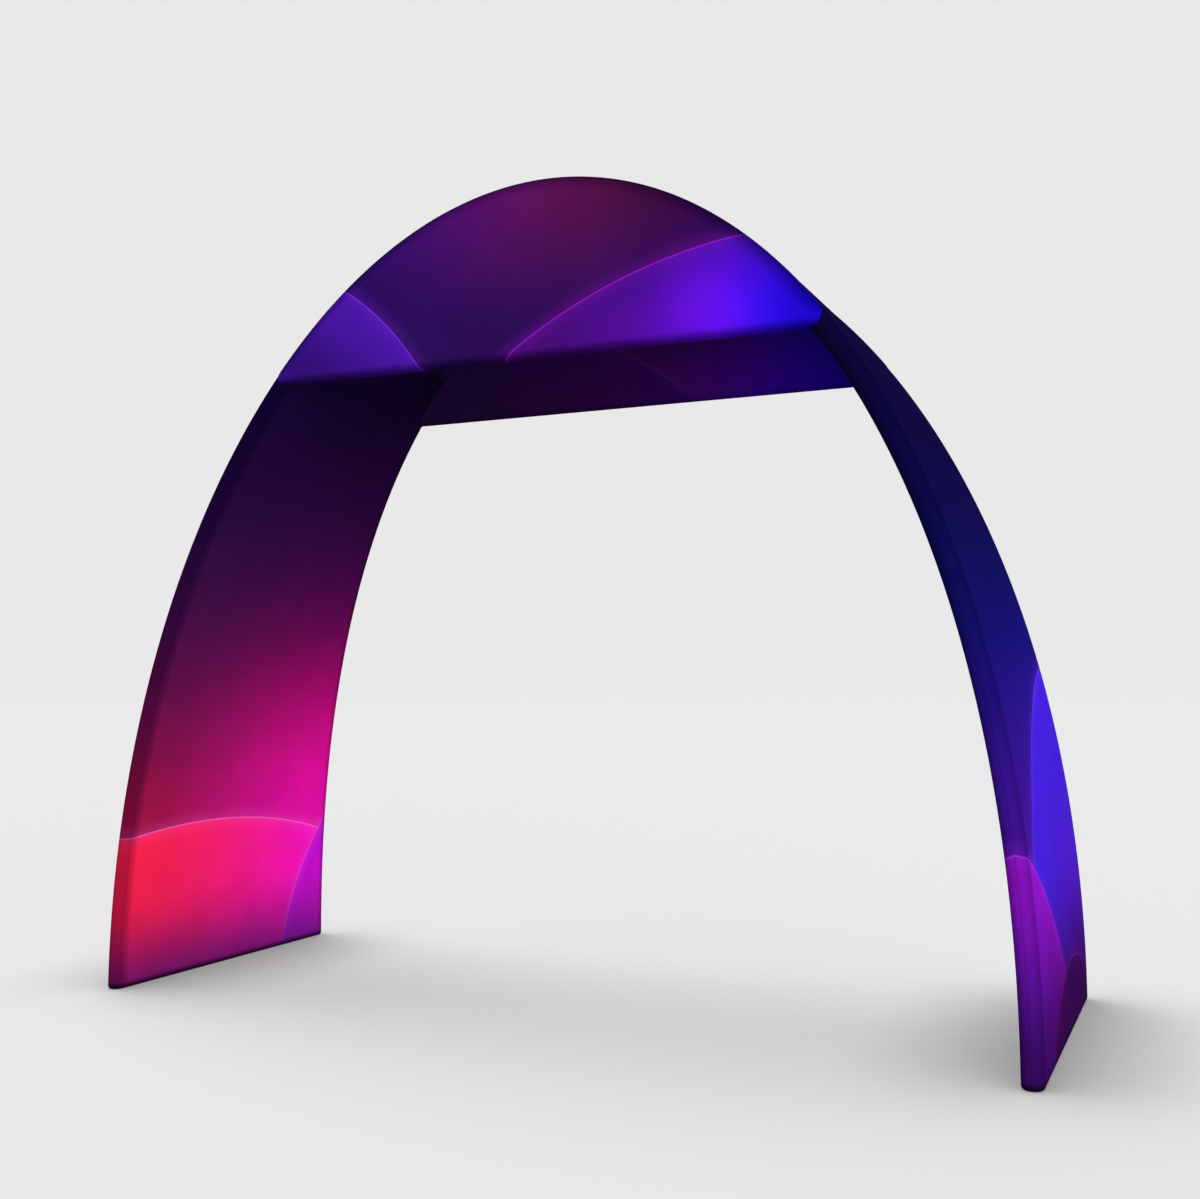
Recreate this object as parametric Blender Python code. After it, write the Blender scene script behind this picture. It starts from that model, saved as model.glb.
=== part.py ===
"""Tension fabric arch: printed stretch covers pulled tight over a frame of round tube.

World axes: X across the arch, Y through it with the front at -Y, Z up.
The origin is on the floor, midway between the feet.
"""

from collections import namedtuple
from math import cos, pi, radians, sin

import bmesh
import bpy
import numpy as np

# ---- Driving dimensions, in metres ------------------------------------------------

HEIGHT = 2.440            # floor to crown, over the band's cover
HALF_WIDTH = 1.414        # centre to the outer side of a leg at the floor
ARCH_POWER = 2.1          # 2 makes the outer line an ellipse, more makes straighter legs
BASE_DEPTH = 1.090        # front to back at the floor
CROWN_DEPTH = 0.700       # front to back at the crown
TAPER_POWER = 1.6         # how late on its way up the band draws in
HEADER_BOTTOM = 1.890     # underside of both header panels

CLOTH = 0.002             # thickness of the stretch cloth
CLEARANCE = 0.0004        # between cloth and tube, and between tube and tube
LAP_GAP = 0.0009          # between the header's lap and the band's cover under it
SADDLE = 0.005            # how far the band is drawn towards the passage between the hoops
FOOT_TURN = 0.010         # radius with which the band's cover turns under at the floor
SLOT_HALF_WIDTH = 0.004   # opening under each foot through which the cover is pulled on
SLOT_HALF_LENGTH = 0.300

HOOP_RADIUS = 0.0254      # two-inch tube for the hoops and the header bars
SPREADER_RADIUS = 0.015

# ---- How finely the shapes are cut ------------------------------------------------

HEADER_STEPS = 9          # stations from the crown to a header's last full strip
LEG_STEPS = 20            # stations from there to a foot
EDGE_SEGMENTS = 6         # facets of a half round edge; a tube has twice as many
FLAT_SEGMENTS = 4         # strips across the band between its hoops
TURN_SEGMENTS = 3         # facets of the turn at a foot
FACE_SEGMENTS = 3         # strips down a header's face
BACK_SEGMENTS = 2         # strips up a header's back

# ---- Sizes that follow ------------------------------------------------------------

# The cover's facets clear the tube's facets by CLEARANCE at their middles.
EDGE_RADIUS = HOOP_RADIUS + (CLOTH + CLEARANCE) / cos(pi / (2 * EDGE_SEGMENTS))
LAP_RADIUS = EDGE_RADIUS + LAP_GAP + CLOTH
BAR_HEIGHT = HEADER_BOTTOM + EDGE_RADIUS
# A header's last full strip stands where its back is still this tall.
LAST_STRIP_BACK = 0.006
# The header's end hem crosses the hoop's front on a slant, bowed towards the foot.
HEM_SLANT = 0.037
HEM_BOW = 0.010
HEM_FACE_TURN = radians(5)
# Stations below the header that carry a spreader tube.
SPREADER_STATIONS = {"upper": HEADER_STEPS + 7, "lower": HEADER_STEPS + 14}

# A station is one cross-section of the band: the centre (x, z) of its thickness, the
# direction (nx, nz) that points out of the arch there, and half the distance in Y
# between the two hoops' axes.
Station = namedtuple("Station", "x z nx nz half")


# ---- The arch's line --------------------------------------------------------------

def half_depth(z):
    """Half the distance between the two hoops' axes at height z."""
    drawn_in = (BASE_DEPTH - CROWN_DEPTH) * (z / HEIGHT) ** TAPER_POWER
    return (BASE_DEPTH - drawn_in) / 2 - EDGE_RADIUS


def centre_line():
    """The right half of the band's centre line, crown to foot, as fine columns."""
    angle = np.linspace(pi / 2, 0.001, 2000)
    rise = 2 / ARCH_POWER
    outer_x = HALF_WIDTH * np.cos(angle)
    outer_z = HEIGHT * np.sin(angle) ** rise
    slope_x = HALF_WIDTH * np.sin(angle)
    slope_z = HEIGHT * rise * np.sin(angle) ** (rise - 1) * np.cos(angle)
    length = np.hypot(slope_x, slope_z)
    nx, nz = slope_z / length, slope_x / length
    x, z = outer_x - EDGE_RADIUS * nx, outer_z - EDGE_RADIUS * nz
    distance = np.concatenate([[0], np.cumsum(np.hypot(np.diff(x), np.diff(z)))])
    return distance, x, z, nx, nz


LINE_DISTANCE, LINE_X, LINE_Z, LINE_NX, LINE_NZ = centre_line()


def distance_at_height(z):
    """Distance along the centre line from the crown down to height z."""
    return float(np.interp(-z, -LINE_Z, LINE_DISTANCE))


def last_strip_distance():
    """Where the band's inner side, straight below, is LAST_STRIP_BACK above the bar."""
    inner_x = LINE_X - EDGE_RADIUS * LINE_NX
    inner_z = LINE_Z - EDGE_RADIUS * LINE_NZ
    x = np.interp(-(BAR_HEIGHT + LAST_STRIP_BACK), -inner_z, inner_x)
    return float(np.interp(x, LINE_X, LINE_DISTANCE))


def right_stations():
    """Stations from the crown to the right foot."""
    last_strip = last_strip_distance()
    foot = distance_at_height(FOOT_TURN)
    distances = [last_strip * i / HEADER_STEPS for i in range(HEADER_STEPS)]
    distances += [last_strip + (foot - last_strip) * i / LEG_STEPS for i in range(LEG_STEPS)]
    stations = []
    for d in distances:
        x, z, nx, nz = (float(np.interp(d, LINE_DISTANCE, column))
                        for column in (LINE_X, LINE_Z, LINE_NX, LINE_NZ))
        stations.append(Station(x, z, nx, nz, half_depth(z)))
    stations[0] = Station(0.0, HEIGHT - EDGE_RADIUS, 0.0, 1.0, stations[0].half)
    stations.append(Station(HALF_WIDTH - EDGE_RADIUS, FOOT_TURN, 1.0, 0.0, half_depth(FOOT_TURN)))
    return stations


def mirrored(station):
    return station._replace(x=-station.x, nx=-station.nx)


RIGHT = right_stations()
# The whole band, left foot to right foot.
BAND = [mirrored(station) for station in RIGHT[:0:-1]] + RIGHT
STATION_DISTANCE = np.cumsum([0] + [np.hypot(b.x - a.x, b.z - a.z)
                                    for a, b in zip(RIGHT, RIGHT[1:])])


def station_at(distance):
    """A station part of the way between two of RIGHT, on the same facet of the band."""
    return Station(*(float(np.interp(distance, STATION_DISTANCE, column))
                     for column in zip(*RIGHT)))


def inner_line(offset):
    """The line at this offset inside the centre line, crown to foot, as x and z columns."""
    xs = np.array([s.x - offset * s.nx for s in RIGHT])
    zs = np.array([s.z - offset * s.nz for s in RIGHT])
    return xs, zs


def inner_x(z, offset):
    xs, zs = inner_line(offset)
    return float(np.interp(-z, -zs, xs))


def inner_z(x, offset):
    xs, zs = inner_line(offset)
    return float(np.interp(abs(x), xs, zs))


def section_point(station, outwards, y):
    """World point of a cross-section: outwards from its centre, and y through the arch."""
    return (station.x + outwards * station.nx, y, station.z + outwards * station.nz)


# ---- Meshes -----------------------------------------------------------------------

def new_object(name, bm, material, thickness=None):
    """Link a bmesh as a named object; a thickness turns its sheet into cloth, inwards."""
    mesh = bpy.data.meshes.new(name)
    bm.to_mesh(mesh)
    bm.free()
    mesh.shade_smooth()
    mesh.set_sharp_from_angle(angle=radians(40))
    mesh.materials.append(material)
    obj = bpy.data.objects.new(name, mesh)
    bpy.context.scene.collection.objects.link(obj)
    if thickness:
        solidify = obj.modifiers.new("Cloth", "SOLIDIFY")
        solidify.thickness = thickness
        solidify.offset = -1.0
        solidify.use_even_offset = True
    return obj


def skin_rings(rings, capped):
    """A bmesh through closed rings of equal point count, one after another."""
    bm = bmesh.new()
    loops = [[bm.verts.new(point) for point in ring] for ring in rings]
    count = len(rings[0])
    for before, after in zip(loops, loops[1:]):
        for i in range(count):
            j = (i + 1) % count
            bm.faces.new((before[i], after[i], after[j], before[j]))
    if capped:
        bm.faces.new(loops[0])
        bm.faces.new(loops[-1][::-1])
    return bm


def skin_strips(strips):
    """A bmesh through open strips; a strip that is shorter joins as far as it goes."""
    bm = bmesh.new()
    columns = [[bm.verts.new(point) for point in strip] for strip in strips]
    for left, right in zip(columns, columns[1:]):
        for i in range(min(len(left), len(right)) - 1):
            bm.faces.new((left[i], left[i + 1], right[i + 1], right[i]))
    return bm


def principled(name, colour, roughness, metallic=0.0):
    material = bpy.data.materials.new(name)
    material.use_nodes = True
    shader = material.node_tree.nodes["Principled BSDF"]
    shader.inputs["Base Color"].default_value = (*colour, 1.0)
    shader.inputs["Roughness"].default_value = roughness
    shader.inputs["Metallic"].default_value = metallic
    return material


# ---- The band's cover -------------------------------------------------------------

def saddle(station, y):
    """How far the stretched band is drawn inwards at y; nothing at hoops, floor or header."""
    up_the_leg = min(station.z / HEADER_BOTTOM, 1.0)
    return SADDLE * sin(pi * up_the_leg) * (1 - (y / station.half) ** 2)


def band_ring(station, radius, half):
    """The band's section: a flat with two half round edges, front and back."""
    ring = []
    for side in (1, -1):
        for i in range(EDGE_SEGMENTS + 1):
            turn = pi * i / EDGE_SEGMENTS
            ring.append(section_point(station, side * radius * cos(turn),
                                      side * (half + radius * sin(turn))))
        for i in range(1, FLAT_SEGMENTS):
            y = side * half * (1 - 2 * i / FLAT_SEGMENTS)
            outwards = -side * radius - saddle(station, y)
            ring.append(section_point(station, outwards, y))
    return ring


def foot_rings(station, radius, turn, ring_of):
    """Rings that turn under at a foot; ring_of(station, radius) makes each of them."""
    rings = []
    for i in range(1, TURN_SEGMENTS + 1):
        angle = pi / 2 * i / TURN_SEGMENTS
        lower = station._replace(z=station.z - turn * sin(angle))
        rings.append(ring_of(lower, radius - turn * (1 - cos(angle))))
    return rings


def arch_cover(material):
    """The sleeve over the whole band, turned under at the feet, with a slot in each."""
    def ring_of(station, radius):
        return band_ring(station, radius, station.half)

    ends = []
    for foot in (BAND[0], BAND[-1]):
        floor = foot._replace(z=0.0)
        slot = band_ring(floor, SLOT_HALF_WIDTH, SLOT_HALF_LENGTH)
        ends.append(foot_rings(foot, EDGE_RADIUS, FOOT_TURN, ring_of) + [slot])
    rings = ends[0][::-1] + [ring_of(station, EDGE_RADIUS) for station in BAND] + ends[1]
    return new_object("arch_cover", skin_rings(rings, capped=False), material, CLOTH)


# ---- The header covers ------------------------------------------------------------

def bar_centre(z):
    """Distance in Y from the middle of the arch to a header bar's axis."""
    return half_depth(z) + LAP_RADIUS - EDGE_RADIUS


def header_strip(station):
    """One strip of a header, as (x, distance from the middle, z), lap to back.

    It laps over the band's front edge, runs down the face, round the bar and up the
    back to the band's inner side.
    """
    strip = []
    for i in range(EDGE_SEGMENTS // 2 + 1):
        turn = pi * i / EDGE_SEGMENTS
        strip.append(section_point(station, LAP_RADIUS * cos(turn),
                                   station.half + LAP_RADIUS * sin(turn)))
    for i in range(1, FACE_SEGMENTS):
        z = station.z + (BAR_HEIGHT - station.z) * i / FACE_SEGMENTS
        strip.append((station.x, half_depth(z) + LAP_RADIUS, z))
    for i in range(EDGE_SEGMENTS + 1):
        turn = pi * i / EDGE_SEGMENTS
        strip.append((station.x, bar_centre(BAR_HEIGHT) + EDGE_RADIUS * cos(turn),
                      BAR_HEIGHT - EDGE_RADIUS * sin(turn)))
    top = inner_z(station.x, EDGE_RADIUS + LAP_GAP)
    for i in range(1, BACK_SEGMENTS + 1):
        z = BAR_HEIGHT + (top - BAR_HEIGHT) * i / BACK_SEGMENTS
        strip.append((station.x, bar_centre(z) - EDGE_RADIUS, z))
    return strip


def header_end():
    """The end hem at the right: over the hoop's front, then along the band's inner side."""
    xs, zs = inner_line(LAP_RADIUS)
    hem_foot = float(np.interp(-HEADER_BOTTOM, -zs, STATION_DISTANCE))
    quarter = EDGE_SEGMENTS // 2
    turns = [pi * i / EDGE_SEGMENTS for i in range(quarter + 1)]
    turns += [pi / 2 + HEM_FACE_TURN * i for i in range(1, FACE_SEGMENTS + 1)]
    left_over = pi - turns[-1]
    turns += [pi - left_over * (1 - i / quarter) for i in range(1, quarter + 1)]
    strip = []
    for turn in turns:
        up = HEM_SLANT * (1 - turn / pi) - HEM_BOW * sin(turn)
        station = station_at(hem_foot - up)
        strip.append(section_point(station, LAP_RADIUS * cos(turn),
                                   station.half + LAP_RADIUS * sin(turn)))
    for i in range(quarter + 1, EDGE_SEGMENTS + 1):
        turn = pi * i / EDGE_SEGMENTS
        z = BAR_HEIGHT - EDGE_RADIUS * sin(turn)
        strip.append((inner_x(z, LAP_RADIUS),
                      bar_centre(BAR_HEIGHT) + EDGE_RADIUS * cos(turn), z))
    return strip


def header_cover(name, side, material):
    """A header's pillowcase; side is -1 at the front and 1 at the back."""
    right = [header_strip(station) for station in RIGHT[:HEADER_STEPS + 1]] + [header_end()]
    left = [[(-x, y, z) for x, y, z in strip] for strip in right[:0:-1]]
    strips = [[(x, side * y, z) for x, y, z in strip] for strip in left + right]
    if side > 0:
        strips.reverse()
    return new_object(name, skin_strips(strips), material, CLOTH)


# ---- The frame --------------------------------------------------------------------

def hoop(name, side, material):
    """One bent tube along an edge of the band, with rounded plugs at its feet."""
    sides = 2 * EDGE_SEGMENTS

    def ring_of(station, radius):
        ring = []
        for i in range(sides):
            turn = 2 * pi * i / sides
            y = side * station.half + radius * sin(turn)
            ring.append(section_point(station, radius * cos(turn), y))
        return ring

    plug = FOOT_TURN - CLOTH - CLEARANCE
    left, right = (foot_rings(foot, HOOP_RADIUS, plug, ring_of) for foot in (BAND[0], BAND[-1]))
    rings = left[::-1] + [ring_of(station, HOOP_RADIUS) for station in BAND] + right
    return new_object(name, skin_rings(rings, capped=True), material)


def header_bar(name, side, material):
    """The straight tube in a header's lower edge, its ends cut to clear the band."""
    sides = 2 * EDGE_SEGMENTS
    rings = []
    for end in (-1, 1):
        ring = []
        for i in range(sides):
            turn = 2 * pi * i / sides
            z = BAR_HEIGHT + HOOP_RADIUS * cos(turn)
            y = side * bar_centre(BAR_HEIGHT) + HOOP_RADIUS * sin(turn)
            reach = min(inner_x(z, EDGE_RADIUS + CLEARANCE), RIGHT[HEADER_STEPS].x)
            ring.append((end * reach, y, z))
        rings.append(ring)
    return new_object(name, skin_rings(rings, capped=True), material)


def spreader(name, distance, mirror, material):
    """A tube that holds the two hoops apart, its ends cut to the hoops' lean.

    distance is measured along the band from the crown; mirror is 1 on the right.
    """
    station = station_at(distance)
    sides = 2 * EDGE_SEGMENTS
    rings = []
    for side in (-mirror, mirror):
        ring = []
        for i in range(sides):
            turn = 2 * pi * i / sides
            dx, dz = SPREADER_RADIUS * cos(turn), SPREADER_RADIUS * sin(turn)
            place = abs(distance + dx * station.nz - dz * station.nx)
            reach = station_at(place).half - HOOP_RADIUS - CLEARANCE
            ring.append((mirror * (station.x + dx), side * reach, station.z + dz))
        rings.append(ring)
    return new_object(name, skin_rings(rings, capped=True), material)


def spreaders(material):
    spreader("spreader_crown", 0.0, 1, material)
    above_foot = CLOTH + CLEARANCE + SPREADER_RADIUS - FOOT_TURN
    places = {"foot": STATION_DISTANCE[-1] - above_foot}
    for place, index in SPREADER_STATIONS.items():
        places[place] = STATION_DISTANCE[index]
    for place, distance in places.items():
        spreader("spreader_right_" + place, distance, 1, material)
        spreader("spreader_left_" + place, distance, -1, material)


# ---- The part ---------------------------------------------------------------------

for old in list(bpy.data.objects):
    bpy.data.objects.remove(old)

band_cloth = principled("band_print", (0.06, 0.02, 0.14), 0.55)
front_cloth = principled("front_header_print", (0.10, 0.02, 0.30), 0.55)
back_cloth = principled("back_header_print", (0.05, 0.01, 0.16), 0.55)
aluminium = principled("aluminium_tube", (0.62, 0.63, 0.65), 0.35, metallic=1.0)

arch_cover(band_cloth)
header_cover("front_header_cover", -1, front_cloth)
header_cover("back_header_cover", 1, back_cloth)
hoop("front_hoop", -1, aluminium)
hoop("back_hoop", 1, aluminium)
header_bar("front_header_bar", -1, aluminium)
header_bar("back_header_bar", 1, aluminium)
spreaders(aluminium)
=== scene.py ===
"""Looks of the tension fabric arch: printed stretch covers over a frame of round tube."""

import math

import bmesh
import bpy
import numpy as np
from mathutils import Matrix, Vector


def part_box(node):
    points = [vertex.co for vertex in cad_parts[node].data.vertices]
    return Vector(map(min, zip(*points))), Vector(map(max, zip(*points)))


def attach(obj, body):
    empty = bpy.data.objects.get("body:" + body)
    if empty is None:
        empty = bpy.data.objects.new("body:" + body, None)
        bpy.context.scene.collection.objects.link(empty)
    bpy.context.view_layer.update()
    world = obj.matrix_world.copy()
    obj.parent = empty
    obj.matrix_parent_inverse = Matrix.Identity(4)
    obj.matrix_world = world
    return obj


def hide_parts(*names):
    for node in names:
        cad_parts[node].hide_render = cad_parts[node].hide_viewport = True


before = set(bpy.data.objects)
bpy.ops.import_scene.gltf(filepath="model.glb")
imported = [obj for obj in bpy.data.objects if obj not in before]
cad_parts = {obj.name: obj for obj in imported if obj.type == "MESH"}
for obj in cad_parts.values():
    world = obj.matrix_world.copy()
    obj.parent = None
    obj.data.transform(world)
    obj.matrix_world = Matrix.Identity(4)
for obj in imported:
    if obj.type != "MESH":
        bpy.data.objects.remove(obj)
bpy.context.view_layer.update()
bpy.ops.object.select_all(action="DESELECT")

# ---- Camera and studio ------------------------------------------------------------
# A still camera at chest height, to the right of the arch's front, and a pale floor
# that runs into a pale surround of the same tone. Two lights reach the floor alone: one
# lays the arch's soft shadow on it and the other lifts it to the surround's tone.

camera_data = bpy.data.cameras.new("camera")
camera_data.sensor_width = 36.0
camera_data.lens = 42.03
camera_data.clip_end = 400.0
camera = bpy.data.objects.new("camera", camera_data)
bpy.context.scene.collection.objects.link(camera)
heading = Matrix.Rotation(math.radians(24.25), 4, "Z")
tilt = Matrix.Rotation(math.radians(90.0 + 3.54), 4, "X")
roll = Matrix.Rotation(math.radians(-0.16), 4, "Z")
camera.matrix_world = Matrix.Translation((1.8364, -3.9687, 0.9419)) @ heading @ tilt @ roll
bpy.context.scene.camera = camera

bpy.ops.mesh.primitive_circle_add(vertices=64, radius=90.0, fill_type="NGON")
floor = bpy.context.active_object
floor.name = "floor"
floor_paint = bpy.data.materials.new("floor_paint")
floor_paint.use_nodes = True
floor_tree = floor_paint.node_tree
floor_shader = floor_tree.nodes["Principled BSDF"]
floor_shader.inputs["Roughness"].default_value = 0.9
floor_shader.inputs["Specular IOR Level"].default_value = 0.0
# Painted shade: the floor's colour darkens where the arch is near, within half a metre, as a
# contact shade round the feet.
nearness = floor_tree.nodes.new("ShaderNodeAmbientOcclusion")
nearness.samples = 6
nearness.inputs["Distance"].default_value = 0.5
contact_shade = floor_tree.nodes.new("ShaderNodeMapRange")
contact_shade.inputs["To Min"].default_value = 0.018
contact_shade.inputs["To Max"].default_value = 0.12
floor_tree.links.new(nearness.outputs["AO"], contact_shade.inputs["Value"])
floor_tree.links.new(contact_shade.outputs["Result"], floor_shader.inputs["Base Color"])
floor.data.materials.append(floor_paint)

surround_tone = 0.815
world = bpy.data.worlds.new("surround")
bpy.context.scene.world = world
world.use_nodes = True
surround = world.node_tree.nodes["Background"]
surround.inputs["Color"].default_value = (surround_tone, surround_tone, surround_tone, 1.0)
bpy.context.scene.view_settings.view_transform = "Standard"


def sun(name, strength, spread, tilt_x, turn_z):
    """A far soft light; tilt_x leans it from straight above and turn_z sets its side."""
    lamp_data = bpy.data.lights.new(name, "SUN")
    lamp_data.energy = strength
    lamp_data.angle = math.radians(spread)
    lamp = bpy.data.objects.new(name, lamp_data)
    lamp.rotation_euler = (math.radians(tilt_x), 0.0, math.radians(turn_z))
    bpy.context.scene.collection.objects.link(lamp)
    return lamp


sun("top_light", strength=1.7, spread=34.0, tilt_x=-10.0, turn_z=40.0)
sun("key_light", strength=2.6, spread=50.0, tilt_x=83.0, turn_z=45.0)
shadow_light = sun("floor_shadow_light", strength=4.3, spread=38.0, tilt_x=-24.0, turn_z=66.0)
fill_light = sun("floor_fill", strength=12.9, spread=20.0, tilt_x=0.0, turn_z=0.0)
fill_light.data.use_shadow = False
floor_only = bpy.data.collections.new("floor_only")
floor_only.objects.link(floor)
for lamp in (shadow_light, fill_light):
    lamp.light_linking.receiver_collection = floor_only

# ---- Frame tubes ------------------------------------------------------------------
# Two bent hoops, two straight header bars and seven spreaders of satin aluminium
# tube. The covers hide them, apart from what shows through the slots at the feet.

satin = bpy.data.materials.new("satin_aluminium")
satin.use_nodes = True
satin_tree = satin.node_tree
satin_shader = satin_tree.nodes["Principled BSDF"]
satin_shader.inputs["Metallic"].default_value = 1.0
satin_place = satin_tree.nodes.new("ShaderNodeTexCoord")
satin_grain = satin_tree.nodes.new("ShaderNodeTexNoise")
satin_grain.inputs["Scale"].default_value = 180.0
satin_grain.inputs["Detail"].default_value = 3.0
satin_tone = satin_tree.nodes.new("ShaderNodeValToRGB")
satin_tone.color_ramp.elements[0].color = (0.55, 0.56, 0.58, 1.0)
satin_tone.color_ramp.elements[1].color = (0.68, 0.69, 0.71, 1.0)
satin_rough = satin_tree.nodes.new("ShaderNodeMapRange")
satin_rough.inputs["To Min"].default_value = 0.28
satin_rough.inputs["To Max"].default_value = 0.44
satin_tree.links.new(satin_place.outputs["Object"], satin_grain.inputs["Vector"])
satin_tree.links.new(satin_grain.outputs["Fac"], satin_tone.inputs["Fac"])
satin_tree.links.new(satin_tone.outputs["Color"], satin_shader.inputs["Base Color"])
satin_tree.links.new(satin_grain.outputs["Fac"], satin_rough.inputs["Value"])
satin_tree.links.new(satin_rough.outputs["Result"], satin_shader.inputs["Roughness"])

covers = ("arch_cover", "front_header_cover", "back_header_cover")
for name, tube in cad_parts.items():
    if name not in covers:
        tube.data.materials.clear()
        tube.data.materials.append(satin)

# ---- The band's cover -------------------------------------------------------------
# One sleeve of printed stretch knit, an inner and an outer panel sewn edge to edge,
# pulled over both hoops from foot to foot. It is tight, so its flats are drawn a
# little towards the passage, and its ends turn under at the floor.

low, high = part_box("arch_cover")
height, half_width, base_depth = high.z, high.x, 2 * high.y
crown_depth = 0.700
arch_power = 2.1
taper_power = 1.6
header_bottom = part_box("front_header_cover")[0].z
cloth = 0.001
edge_radius = 0.0278846
saddle_depth = 0.005
foot_turn = 0.010
slot_half_width, slot_half_length = 0.004, 0.300
smooth_under = math.radians(40)


def half_depth(z):
    """Half the distance between the hoops' axes at height z."""
    drawn_in = (base_depth - crown_depth) * (max(z, 0.0) / height) ** taper_power
    return (base_depth - drawn_in) / 2 - edge_radius


angle = np.linspace(math.pi / 2, 0.001, 4000)
rise = 2 / arch_power
slope_x = half_width * np.sin(angle)
slope_z = height * rise * np.sin(angle) ** (rise - 1) * np.cos(angle)
slope = np.hypot(slope_x, slope_z)
line_nx, line_nz = slope_z / slope, slope_x / slope
line_x = half_width * np.cos(angle) - edge_radius * line_nx
line_z = height * np.sin(angle) ** rise - edge_radius * line_nz
line_distance = np.concatenate([[0], np.cumsum(np.hypot(np.diff(line_x), np.diff(line_z)))])


def section(distance):
    """The band's section this far from the crown: x, z, outward x and z, half depth."""
    x, z, nx, nz = (float(np.interp(abs(distance), line_distance, column))
                    for column in (line_x, line_z, line_nx, line_nz))
    if abs(distance) < 1e-6:
        nx, nz = 0.0, 1.0
    side = math.copysign(1.0, distance)
    return side * x, z, side * nx, nz, half_depth(z)


edge_steps, flat_steps = 12, 24


def ring(spot, radius, half, drawn, along):
    """A closed ring round the band: points, their print places and their seam distances."""
    x, z, nx, nz = spot[:4]
    quarter = radius * math.pi / 2
    out = []
    for side in (1, -1):
        for i in range(edge_steps + 1):
            turn = math.pi * i / edge_steps
            around = radius * min(turn, math.pi - turn)
            out.append((side * radius * math.cos(turn), side * (half + radius * math.sin(turn)),
                        side * (half + around), quarter - around))
        for i in range(1, flat_steps):
            y = side * half * (1 - 2 * i / flat_steps)
            pull = drawn * (1 - (y / half) ** 2)
            out.append((-side * radius - pull, y, y, quarter + half - abs(y)))
    points = [(x + o * nx, y, z + o * nz) for o, y, u, seam in out]
    return points, [(u, along) for o, y, u, seam in out], [seam for o, y, u, seam in out]


def sewn(name, rings):
    """A sleeve of cloth from rings of (points, print places, seam distances)."""
    mesh = bpy.data.meshes.new(name)
    count = len(rings[0][0])
    faces = [(r * count + i, (r + 1) * count + i, (r + 1) * count + (i + 1) % count,
              r * count + (i + 1) % count)
             for r in range(len(rings) - 1) for i in range(count)]
    mesh.from_pydata([point for row in rings for point in row[0]], [], faces)
    places = np.array([place for row in rings for place in row[1]])
    uv = mesh.uv_layers.new(name="print")
    corners = np.zeros(len(mesh.loops), np.int32)
    mesh.loops.foreach_get("vertex_index", corners)
    uv.data.foreach_set("uv", places[corners].ravel())
    seam = mesh.attributes.new("seam", "FLOAT", "POINT")
    from_seam = np.array([distance for row in rings for distance in row[2]], np.float32)
    seam.data.foreach_set("value", from_seam)
    obj = bpy.data.objects.new(name, mesh)
    bpy.context.scene.collection.objects.link(obj)
    return obj


def finish_cloth(obj):
    """Give the sheet its thickness, inwards, and smooth it."""
    bpy.ops.object.select_all(action="DESELECT")
    bpy.context.view_layer.objects.active = obj
    obj.select_set(True)
    wall = obj.modifiers.new("cloth", "SOLIDIFY")
    wall.thickness = cloth
    wall.offset = -1.0
    wall.use_even_offset = True
    bpy.ops.object.modifier_apply(modifier=wall.name)
    bpy.ops.object.shade_smooth_by_angle(angle=smooth_under)


foot_distance = float(np.interp(-foot_turn, -line_z, line_distance))
leg_steps, turn_steps = 146, 5
print_under_foot = 0.03
stations = [foot_distance * i / leg_steps for i in range(leg_steps + 1)]
band_rows = []
for distance in [-d for d in stations[:0:-1]] + stations:
    spot = section(distance)
    up_the_leg = min(spot[1] / header_bottom, 1.0)
    drawn = saddle_depth * math.sin(math.pi * up_the_leg)
    band_rows.append(ring(spot, edge_radius, spot[4], drawn, distance))
for side in (-1, 1):
    x = side * (half_width - edge_radius)
    half = half_depth(foot_turn)
    under = []
    for i in range(1, turn_steps + 1):
        turn = math.pi / 2 * i / turn_steps
        spot = (x, foot_turn - foot_turn * math.sin(turn), side, 0.0)
        radius = edge_radius - foot_turn * (1 - math.cos(turn))
        under.append(ring(spot, radius, half, 0.0, side * (foot_distance + foot_turn * turn)))
    under.append(ring((x, 0.0, side, 0.0), slot_half_width, slot_half_length, 0.0,
                      side * (foot_distance + print_under_foot)))
    band_rows = band_rows + under if side > 0 else under[::-1] + band_rows

band_cover = sewn("band_cover", band_rows)
finish_cloth(band_cover)


def new_print(name):
    """A material for printed knit, its shader, and the print's place on the cloth in metres."""
    material = bpy.data.materials.new(name)
    material.use_nodes = True
    tree = material.node_tree
    shader = tree.nodes["Principled BSDF"]
    shader.inputs["IOR"].default_value = 1.0
    shader.inputs["Sheen Weight"].default_value = 0.004
    shader.inputs["Sheen Roughness"].default_value = 0.45
    shader.inputs["Sheen Tint"].default_value = (0.30, 0.12, 0.80, 1.0)
    uv_map = tree.nodes.new("ShaderNodeUVMap")
    uv_map.uv_map = "print"
    split = tree.nodes.new("ShaderNodeSeparateXYZ")
    tree.links.new(uv_map.outputs["UV"], split.inputs["Vector"])
    return material, tree, shader, uv_map.outputs["UV"], split.outputs["X"], split.outputs["Y"]


def carried(tree, name):
    """The value that the mesh carries at each of its points under this name."""
    node = tree.nodes.new("ShaderNodeAttribute")
    node.attribute_name = name
    return node.outputs["Fac"]


def sums(tree, operation, a, b):
    """A Math node on two values, each a socket or a number; gives its result."""
    node = tree.nodes.new("ShaderNodeMath")
    node.operation = operation
    for socket, value in zip(node.inputs, (a, b)):
        if isinstance(value, (int, float)):
            socket.default_value = value
        else:
            tree.links.new(value, socket)
    return node.outputs[0]


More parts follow.
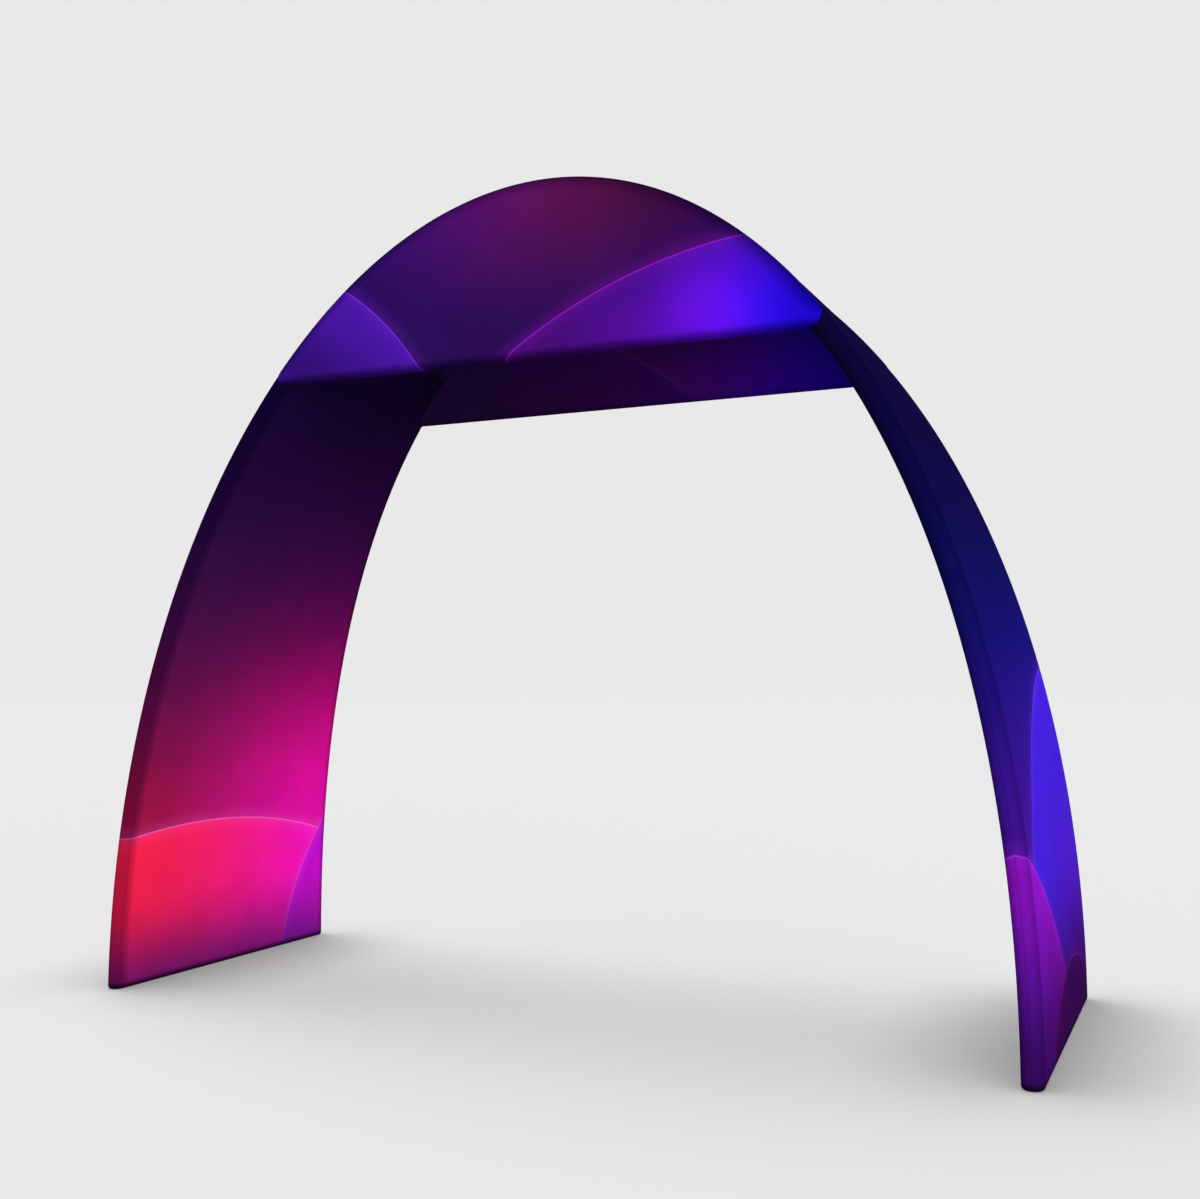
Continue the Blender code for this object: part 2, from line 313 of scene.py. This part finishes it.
def ease(tree, value, start, end, at_start, at_end):
    """A smooth step of value, from at_start at start to at_end at end."""
    node = tree.nodes.new("ShaderNodeMapRange")
    node.interpolation_type = "SMOOTHSTEP"
    for name, number in (("From Min", start), ("From Max", end),
                         ("To Min", at_start), ("To Max", at_end)):
        node.inputs[name].default_value = number
    tree.links.new(value, node.inputs["Value"])
    return node.outputs["Result"]


def over(tree, share, under, colour):
    """Lay a colour, or a colour socket, over another by this share."""
    node = tree.nodes.new("ShaderNodeMix")
    node.data_type = "RGBA"
    tree.links.new(share, node.inputs[0])
    tree.links.new(under, node.inputs[6])
    if isinstance(colour, tuple):
        node.inputs[7].default_value = (*colour, 1.0)
    else:
        tree.links.new(colour, node.inputs[7])
    return node.outputs[2]


def ramp(tree, value, start, end, stops):
    """Colours along value: stops are (value, colour), between start and end."""
    share = tree.nodes.new("ShaderNodeMapRange")
    share.inputs["From Min"].default_value = start
    share.inputs["From Max"].default_value = end
    tree.links.new(value, share.inputs["Value"])
    node = tree.nodes.new("ShaderNodeValToRGB")
    node.color_ramp.interpolation = "B_SPLINE"
    elements = node.color_ramp.elements
    elements.remove(elements[1])
    elements[0].position = (stops[0][0] - start) / (end - start)
    elements[0].color = (*stops[0][1], 1.0)
    for place, colour in stops[1:]:
        element = elements.new((place - start) / (end - start))
        element.color = (*colour, 1.0)
    tree.links.new(share.outputs["Result"], node.inputs["Fac"])
    return node.outputs["Color"]


crisp, rim_width, rim_glow = 0.0006, 0.0045, 0.05


def disc(tree, place, under, centre, radius, fill, reach, keep, rim, strength):
    """A soft disc of light in the print: brightest at its rim, which is a thin line.

    The light fades inwards over the reach, down to the share that is kept.
    """
    gap = tree.nodes.new("ShaderNodeVectorMath")
    gap.operation = "DISTANCE"
    tree.links.new(place, gap.inputs[0])
    gap.inputs[1].default_value = (*centre, 0.0)
    depth = sums(tree, "SUBTRACT", radius, gap.outputs["Value"])
    inside = ease(tree, depth, -crisp, crisp, 0.0, strength)
    share = sums(tree, "MULTIPLY", ease(tree, depth, 0.0, reach, 1.0, keep), inside)
    filled = over(tree, share, under, fill)
    off_rim = sums(tree, "ABSOLUTE", depth, 0.0)
    line = sums(tree, "MAXIMUM", ease(tree, off_rim, 0.0, rim_width, strength * 0.95, 0.0),
                ease(tree, off_rim, 0.0, rim_glow, strength * 0.12, 0.0))
    return over(tree, line, filled, rim)


rib_pitch, row_pitch = 0.00137, 0.00105
wave_length = math.pi / 10


def knit(tree, shader, colour, place):
    """Fine ribs of knit: they shade the colour a little, and set roughness and bump."""
    ribs, rows = tree.nodes.new("ShaderNodeTexWave"), tree.nodes.new("ShaderNodeTexWave")
    for wave, direction, pitch in ((ribs, "X", rib_pitch), (rows, "Y", row_pitch)):
        wave.bands_direction = direction
        wave.inputs["Scale"].default_value = wave_length / pitch
        wave.inputs["Distortion"].default_value = 0.6
        tree.links.new(place, wave.inputs["Vector"])
    loops = sums(tree, "MULTIPLY", ribs.outputs["Fac"], rows.outputs["Fac"])
    cloud = tree.nodes.new("ShaderNodeTexNoise")
    cloud.inputs["Scale"].default_value = 7.0
    cloud.inputs["Detail"].default_value = 2.0
    tree.links.new(place, cloud.inputs["Vector"])
    uneven = ease(tree, cloud.outputs["Fac"], 0.3, 0.7, 0.0, 0.07)
    thread = sums(tree, "ADD", ease(tree, loops, 0.0, 1.0, 0.10, 0.0), uneven)
    shaded = over(tree, thread, colour, (0.0, 0.0, 0.0))
    tree.links.new(shaded, shader.inputs["Base Color"])
    tree.links.new(ease(tree, loops, 0.0, 1.0, 0.68, 0.52), shader.inputs["Roughness"])
    bump = tree.nodes.new("ShaderNodeBump")
    bump.inputs["Strength"].default_value = 0.25
    bump.inputs["Distance"].default_value = 0.0003
    tree.links.new(loops, bump.inputs["Height"])
    tree.links.new(bump.outputs["Normal"], shader.inputs["Normal"])


band_print, tree, shader, place, across, along = new_print("band_print")
front_tone = ramp(tree, along, -3.1, 3.1, [
    (-3.00, (0.20, 0.006, 0.07)), (-2.60, (0.45, 0.009, 0.06)), (-2.30, (0.20, 0.007, 0.07)),
    (-2.00, (0.085, 0.006, 0.07)), (-1.70, (0.034, 0.005, 0.06)), (-1.40, (0.018, 0.003, 0.05)),
    (-1.05, (0.009, 0.002, 0.034)), (0.0, (0.008, 0.002, 0.034)), (1.10, (0.004, 0.002, 0.030)),
    (1.55, (0.004, 0.003, 0.045)), (1.90, (0.005, 0.005, 0.11)), (2.20, (0.014, 0.006, 0.22)),
    (2.60, (0.08, 0.008, 0.36)), (3.00, (0.04, 0.004, 0.10))])
back_tone = ramp(tree, along, -3.1, 3.1, [
    (-3.00, (0.40, 0.008, 0.30)), (-2.60, (0.88, 0.005, 0.46)), (-2.30, (0.68, 0.005, 0.24)),
    (-2.00, (0.20, 0.003, 0.10)), (-1.70, (0.050, 0.003, 0.064)), (-1.40, (0.024, 0.003, 0.045)),
    (-1.05, (0.009, 0.002, 0.026)), (0.0, (0.008, 0.002, 0.028)), (1.10, (0.005, 0.002, 0.030)),
    (1.55, (0.004, 0.003, 0.050)), (1.90, (0.006, 0.005, 0.12)), (2.20, (0.018, 0.008, 0.28)),
    (2.60, (0.10, 0.012, 0.50)), (3.00, (0.07, 0.005, 0.22))])
tone = over(tree, ease(tree, across, -0.5, 0.5, 0.0, 1.0), front_tone, back_tone)
warm_glow = ramp(tree, across, -0.6, 0.6, [
    (-0.52, (1.0, 0.018, 0.060)), (-0.15, (1.0, 0.016, 0.13)), (0.20, (0.98, 0.010, 0.36)),
    (0.52, (0.92, 0.004, 0.62))])
for centre, radius, fill, reach, keep, rim, strength in (
        ((-0.15, -4.90), 2.35, warm_glow, 0.60, 0.45, (1.0, 0.10, 0.55), 1.0),
        ((1.35, -3.30), 1.10, (0.45, 0.005, 0.62), 0.35, 0.30, (1.0, 0.06, 0.80), 0.8),
        ((0.90, 3.90), 1.90, (0.055, 0.014, 0.66), 0.90, 0.15, (0.14, 0.04, 0.90), 1.0),
        ((-0.90, 3.60), 1.15, (0.25, 0.007, 0.52), 0.55, 0.35, (0.40, 0.03, 0.85), 1.0),
        ((0.15, 3.60), 0.74, (0.045, 0.003, 0.12), 0.30, 0.85, (0.36, 0.02, 0.66), 0.8),
        ((0.55, -0.30), 0.56, (0.030, 0.003, 0.10), 0.50, 0.10, (0.10, 0.01, 0.28), 0.5),
        ((-0.45, 0.25), 0.50, (0.020, 0.004, 0.13), 0.40, 0.10, (0.08, 0.02, 0.34), 0.5)):
    tone = disc(tree, place, tone, centre, radius, fill, reach, keep, rim, strength)
# Painted shade: the print darkens towards each foot, to near black on the right; on the left the
# darker tone also turns violet, which is print.
left_foot_violet_and_shade = ease(tree, along, -3.10, -2.76, 0.85, 0.0)
right_foot_shade = ease(tree, along, 2.55, 3.02, 0.0, 0.85)
tone = over(tree, left_foot_violet_and_shade, tone, (0.06, 0.008, 0.15))
tone = over(tree, right_foot_shade, tone, (0.03, 0.003, 0.05))
# Painted shade, near black, at the bottom of each foot where the cloth turns under against the
# floor.
from_crown = sums(tree, "ABSOLUTE", along, 0.0)
turned_under_shade = ease(tree, from_crown, foot_distance - 0.016, foot_distance + 0.006, 0.0, 0.9)
tone = over(tree, turned_under_shade, tone, (0.003, 0.001, 0.004))
# Painted shade along the band's rounded edges, darkest just before they meet the flats, and
# deeper along the left leg, fading out over the crown; the thin dark line down the middle of
# each edge is the seam.
edge_core, edge_fade, seam_line = 0.036, 0.066, 0.002
from_seam = carried(tree, "seam")
edge_shade = sums(tree, "MULTIPLY", ease(tree, from_seam, 0.008, edge_core, 0.3, 0.6),
                  ease(tree, from_seam, edge_core, edge_fade, 0.7, 0.0))
left_edge_shade = sums(tree, "MULTIPLY", ease(tree, along, -1.2, 0.2, 0.6, 0.0),
                 ease(tree, from_seam, 0.030, 0.046, 1.0, 0.0))
stitched = ease(tree, from_seam, 0.0, seam_line, 0.55, 0.0)
edge_shade = sums(tree, "MAXIMUM", edge_shade, left_edge_shade)
tone = over(tree, sums(tree, "MAXIMUM", edge_shade, stitched), tone, (0.0, 0.0, 0.01))
knit(tree, shader, tone, place)
band_cover.data.materials.append(band_print)

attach(band_cover, "root")
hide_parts("arch_cover")

# ---- The header covers ------------------------------------------------------------
# Each is one printed pillowcase: it laps over its hoop above the passage, hangs
# straight to the header bar, wraps it, and runs up the back to the band's inner side.
# Its ends are hemmed where it closes round the hoop beside the bar's end.

lap_gap = 0.0005
lap_radius = edge_radius + lap_gap + cloth
bar_height = header_bottom + edge_radius
least_back_height = 0.006
hem_slant, hem_bow = 0.037, 0.028
hem_face_turn = math.radians(15)
inner_xs = line_x - lap_radius * line_nx
inner_zs = line_z - lap_radius * line_nz
hem_foot = float(np.interp(-header_bottom, -inner_zs, line_distance))
under_xs = line_x - edge_radius * line_nx
under_zs = line_z - edge_radius * line_nz
last_x = float(np.interp(-(bar_height + least_back_height), -under_zs, under_xs))
last_distance = float(np.interp(last_x, line_x, line_distance))
bar_y = half_depth(bar_height) + lap_radius - edge_radius


def lapped(distance, turn):
    """A point of the lap round the hoop, with y as the distance from the middle."""
    x, z, nx, nz, half = section(distance)
    o = lap_radius * math.cos(turn)
    return x + o * nx, half + lap_radius * math.sin(turn), z + o * nz


def strip_point(distance, row):
    """A full strip's point: row 0 to 1 is lap, to 2 face, to 4 round the bar, to 5 back."""
    x, z = section(distance)[:2]
    if row <= 1:
        return lapped(distance, math.pi / 2 * row)
    if row <= 2:
        level = z + (bar_height - z) * (row - 1)
        return x, half_depth(level) + lap_radius, level
    if row <= 4:
        turn = math.pi / 2 * (row - 2)
        return x, bar_y + edge_radius * math.cos(turn), bar_height - edge_radius * math.sin(turn)
    top = float(np.interp(x, line_x - (edge_radius + lap_gap) * line_nx,
                          line_z - (edge_radius + lap_gap) * line_nz))
    level = bar_height + (top - bar_height) * (row - 4)
    return x, half_depth(level) + lap_radius - 2 * edge_radius, level


def hem_turn(row):
    """How far round the hoop the end hem has gone at this row."""
    if row <= 1:
        return math.pi / 2 * row
    if row <= 2:
        return math.pi / 2 + hem_face_turn * (row - 1)
    return math.pi - (math.pi / 2 - hem_face_turn) * (3 - row)


def hem_distance(row):
    """How far from the crown the end hem lies at this row."""
    turn = hem_turn(row)
    sharpness = 2.5 if turn > math.pi / 2 else 1.0
    bow = hem_bow * math.sin(turn) ** sharpness
    return hem_foot - hem_slant * (1 - turn / math.pi) + bow


def hem_point(row):
    """The end hem: over the hoop's front, then along the band's inner side."""
    if row <= 3:
        return lapped(hem_distance(row), hem_turn(row))
    turn = math.pi / 2 * (row - 2)
    z = bar_height - edge_radius * math.sin(turn)
    return (float(np.interp(-z, -inner_zs, inner_xs)),
            bar_y + edge_radius * math.cos(turn), z)


def end_point(row, share):
    """Between the last full strip and the hem."""
    if row <= 1:
        distance = last_distance + (hem_distance(row) - last_distance) * share
        return lapped(distance, math.pi / 2 * row)
    a, b = np.array(strip_point(last_distance, row)), np.array(hem_point(row))
    return tuple(a + (b - a) * share)


lap_steps, face_steps, wrap_steps, back_steps = 8, 24, 20, 20
end_steps, half_span_steps = 8, 48
lap_rows = [i / lap_steps for i in range(lap_steps + 1)]
face_rows = [1 + i / face_steps for i in range(1, face_steps + 1)]
wrap_rows = [2 + 2 * i / wrap_steps for i in range(1, wrap_steps + 1)]
back_rows = [4 + i / back_steps for i in range(1, back_steps + 1)]


def header_cover(name, side):
    """A header's cover; side is -1 at the front and 1 at the back."""
    full = lap_rows + face_rows + wrap_rows
    columns = []
    for i in range(end_steps, 0, -1):
        columns.append(([end_point(row, i / end_steps) for row in full], None))
    for i in range(half_span_steps, -1, -1):
        distance = last_distance * i / half_span_steps
        columns.append(([strip_point(distance, row) for row in full],
                        [strip_point(distance, row) for row in back_rows]))
    mirrored = [([(-x, y, z) for x, y, z in front],
                 back and [(-x, y, z) for x, y, z in back]) for front, back in columns[:-1]]
    columns = mirrored + columns[::-1]
    bm = bmesh.new()
    uv = bm.loops.layers.uv.new("print")
    hem = bm.verts.layers.float.new("hem")
    lap = bm.verts.layers.float.new("lap")
    run = bm.verts.layers.float.new("run")
    made = []
    for front, back in columns:
        points = front + (back or [])
        made.append([bm.verts.new((x, side * y, z)) for x, y, z in points])
    for left, right in zip(made, made[1:]):
        for i in range(min(len(left), len(right)) - 1):
            corners = (left[i], left[i + 1], right[i + 1], right[i])
            face = bm.faces.new(corners if side < 0 else corners[::-1])
            for loop in face.loops:
                loop[uv].uv = (loop.vert.co.x, loop.vert.co.z)
    walked = 0.0
    for i, column in enumerate(made):
        end = made[0] if i < len(made) / 2 else made[-1]
        walked += (column[0].co - made[max(i - 1, 0)][0].co).length
        for j, vert in enumerate(column):
            from_end = (vert.co - end[min(j, len(end) - 1)].co).length
            vert[lap] = (vert.co - column[0].co).length
            vert[hem] = min(vert[lap], from_end)
            vert[run] = walked
    mesh = bpy.data.meshes.new(name)
    bm.to_mesh(mesh)
    bm.free()
    obj = bpy.data.objects.new(name, mesh)
    bpy.context.scene.collection.objects.link(obj)
    finish_cloth(obj)
    return obj


lap_shade, bar_shade, fold_shade = 0.75, 0.62, 0.6
topstitch_in, topstitch_half = 0.012, 0.0009
stitch_length = 0.0045


def painted_shade_and_hem(tree, colour, up):
    """The print with painted shade where it laps the hoop, wraps the bar and folds at the hem,
    and the hem's dashed topstitch.
    """
    hem, lap, run = carried(tree, "hem"), carried(tree, "lap"), carried(tree, "run")
    # Painted shade: darker over the hoop's lap, round the bar at the bottom, and along the fold
    # at the hem.
    lap_shade_mask = ease(tree, lap, 0.012, 0.058, lap_shade, 0.0)
    bar_shade_mask = ease(tree, up, header_bottom, header_bottom + edge_radius, bar_shade, 0.0)
    fold_shade_mask = ease(tree, hem, 0.0, 0.003, fold_shade, 0.0)
    shade = sums(tree, "MAXIMUM", sums(tree, "MAXIMUM", lap_shade_mask, bar_shade_mask), fold_shade_mask)
    shaded = over(tree, shade, colour, (0.0, 0.0, 0.01))
    off_line = sums(tree, "ABSOLUTE", sums(tree, "SUBTRACT", lap, topstitch_in), 0.0)
    on_line = ease(tree, off_line, topstitch_half / 3, topstitch_half, 0.5, 0.0)
    beat = sums(tree, "MULTIPLY", run, 2 * math.pi / stitch_length)
    dash = ease(tree, sums(tree, "SINE", beat, 0.0), -0.5, 0.0, 0.0, 1.0)
    return over(tree, sums(tree, "MULTIPLY", on_line, dash), shaded, (0.10, 0.06, 0.22))


front_header = header_cover("front_header", -1)
front_print, tree, shader, place, across, up = new_print("front_header_print")
lower = ramp(tree, across, -0.9, 0.9, [
    (-0.85, (0.022, 0.004, 0.12)), (-0.45, (0.020, 0.0045, 0.090)), (0.0, (0.024, 0.004, 0.075)),
    (0.40, (0.040, 0.004, 0.11)), (0.85, (0.03, 0.003, 0.20))])
upper = ramp(tree, across, -0.9, 0.9, [
    (-0.70, (0.018, 0.004, 0.09)), (-0.40, (0.040, 0.004, 0.15)), (-0.10, (0.10, 0.006, 0.11)),
    (0.15, (0.088, 0.006, 0.06)), (0.40, (0.045, 0.004, 0.04)), (0.65, (0.010, 0.002, 0.04))])
tone = over(tree, ease(tree, up, 1.98, 2.40, 0.0, 1.0), lower, upper)
cool_glow = ramp(tree, across, -0.3, 0.9, [
    (-0.20, (0.05, 0.004, 0.12)), (0.15, (0.060, 0.004, 0.17)), (0.40, (0.080, 0.004, 0.34)),
    (0.58, (0.15, 0.006, 0.92)), (0.70, (0.03, 0.004, 0.85)), (0.84, (0.006, 0.002, 0.55))])
high_share = ease(tree, up, 1.94, 2.24, 0.0, 0.75)
cool_glow = over(tree, high_share, cool_glow, (0.036, 0.004, 0.12))
tone = disc(tree, place, tone, (0.80, 0.72), 1.46, cool_glow, 0.55, 0.80,
            (0.26, 0.010, 0.52), 1.0)
tone = disc(tree, place, tone, (-1.20, 1.30), 1.03, (0.060, 0.008, 0.34), 0.30, 0.20,
            (0.16, 0.02, 0.60), 1.0)
knit(tree, shader, painted_shade_and_hem(tree, tone, up), place)
front_header.data.materials.append(front_print)

back_header = header_cover("back_header", 1)
back_print, tree, shader, place, across, up = new_print("back_header_print")
lower = ramp(tree, across, -0.9, 0.9, [
    (-0.85, (0.032, 0.009, 0.070)), (-0.40, (0.030, 0.008, 0.050)), (0.0, (0.062, 0.005, 0.080)),
    (0.30, (0.085, 0.004, 0.22)), (0.60, (0.030, 0.002, 0.52)), (0.85, (0.005, 0.001, 0.20))])
upper = ramp(tree, across, -0.9, 0.9, [
    (-0.70, (0.018, 0.005, 0.040)), (0.0, (0.022, 0.003, 0.028)), (0.60, (0.008, 0.002, 0.08))])
tone = over(tree, ease(tree, up, 1.92, 2.30, 0.0, 1.0), lower, upper)
tone = disc(tree, place, tone, (-0.55, 1.05), 1.15, (0.040, 0.003, 0.14), 0.40, 0.0,
            (0.12, 0.01, 0.30), 0.7)
knit(tree, shader, painted_shade_and_hem(tree, tone, up), place)
back_header.data.materials.append(back_print)

for piece, side in ((front_header, "front"), (back_header, "back")):
    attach(piece, "root")
    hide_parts(side + "_header_cover")
